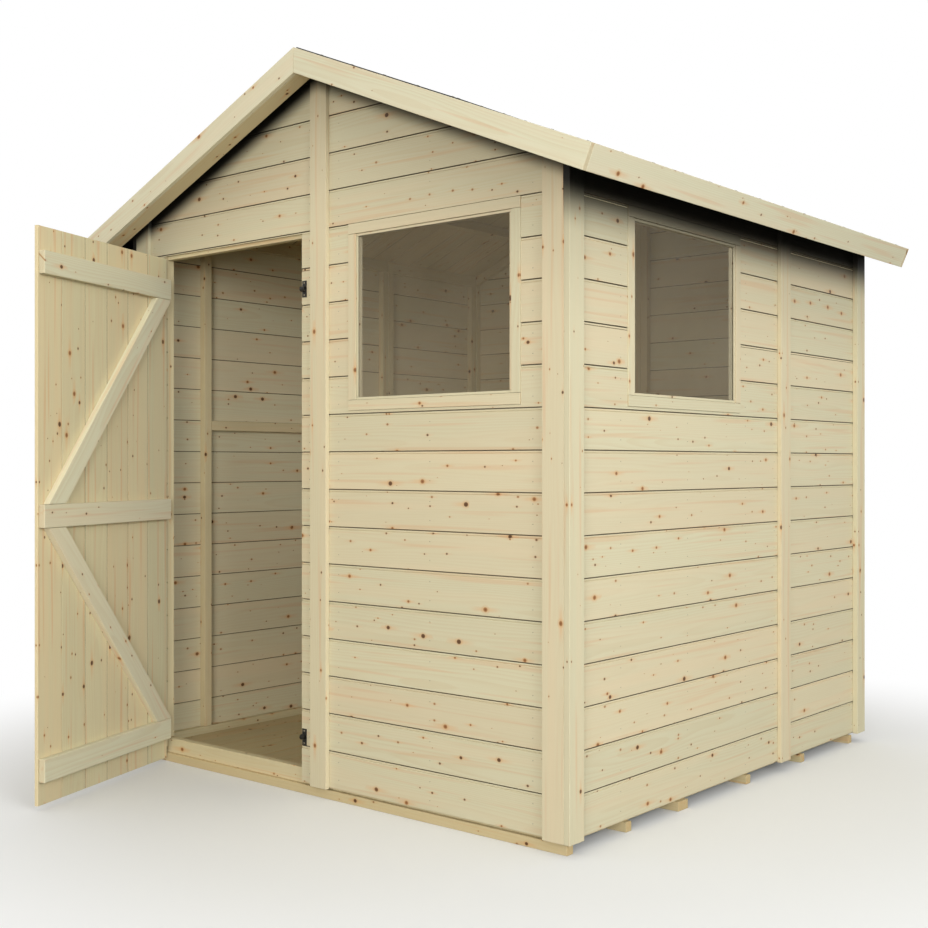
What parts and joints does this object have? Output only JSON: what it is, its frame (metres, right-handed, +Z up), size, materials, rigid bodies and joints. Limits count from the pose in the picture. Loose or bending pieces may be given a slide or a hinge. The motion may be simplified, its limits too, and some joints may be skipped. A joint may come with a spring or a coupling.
{
  "type": "garden shed",
  "caption": "Timber garden shed with shiplap walls, apex felt roof, open ledged and braced door, two fixed windows and a floor on bearers.",
  "frame": {"origin": "middle of the underside of the front floor bearer, on the ground, on the line between the two front panels", "axes": "+X to the right along the front wall, +Y from the front to the back, +Z up"},
  "size_m": [2.1504, 2.5916, 2.2696],
  "materials": {
    "cladding_timber": "planed pine, pressure treated, matt",
    "trim_timber": "planed pine, pressure treated, matt",
    "door_timber": "planed pine, pressure treated, matt",
    "frame_timber": "planed pine, pressure treated, matt",
    "roof_timber": "planed pine, pressure treated, matt",
    "floor_timber": "planed pine, pressure treated, matt",
    "roofing_felt": "mineral felt, matt",
    "black_iron": "black powder coat, satin",
    "glazing": "clear, slightly grey, glossy"
  },
  "bodies": {
    "shed": {"floor_bearers": "floor_timber", "floor_boards": "floor_timber", "door_sill": "frame_timber", "front_frame_door_side": "frame_timber", "front_frame_window_side": "frame_timber", "front_cladding_hinge_side": "cladding_timber", "front_cladding_over_door": "cladding_timber", "front_cladding_latch_side": "cladding_timber", "front_cladding_window_side": "cladding_timber", "left_frame": "frame_timber", "left_cladding_front": "cladding_timber", "left_cladding_rear": "cladding_timber", "right_frame": "frame_timber", "right_cladding_front": "cladding_timber", "right_cladding_rear": "cladding_timber", "rear_frame": "frame_timber", "rear_cladding_left": "cladding_timber", "rear_cladding_right": "cladding_timber", "front_corner_trims": "trim_timber", "rear_corner_trims": "trim_timber", "side_corner_trims": "trim_timber", "front_cover_strip": "trim_timber", "rear_cover_strip": "trim_timber", "side_cover_strips": "trim_timber", "front_window_frame": "trim_timber", "right_window_frame": "trim_timber", "window_glass": "glazing", "left_roof_boards": "roof_timber", "right_roof_boards": "roof_timber", "left_roof_rails": "roof_timber", "right_roof_rails": "roof_timber", "roof_felt": "roofing_felt", "ridge_felt": "roofing_felt", "eaves_fascias": "trim_timber", "front_barge_left": "trim_timber", "front_barge_right": "trim_timber", "rear_barge_left": "trim_timber", "rear_barge_right": "trim_timber", "hinge_plates": "black_iron", "bolt_keeps": "black_iron"},
    "door": {"door_boards": "door_timber", "door_ledges": "door_timber", "door_braces": "door_timber", "hinge_straps": "black_iron", "door_bolts": "black_iron"}
  },
  "joints": [
    {"name": "door_hinge", "type": "hinge", "parent": "shed", "child": "door", "pos_m": [-0.7664, -0.0356, 0.8665], "axis": [0, 0, -1], "range_deg": [-70, 100]}
  ]
}
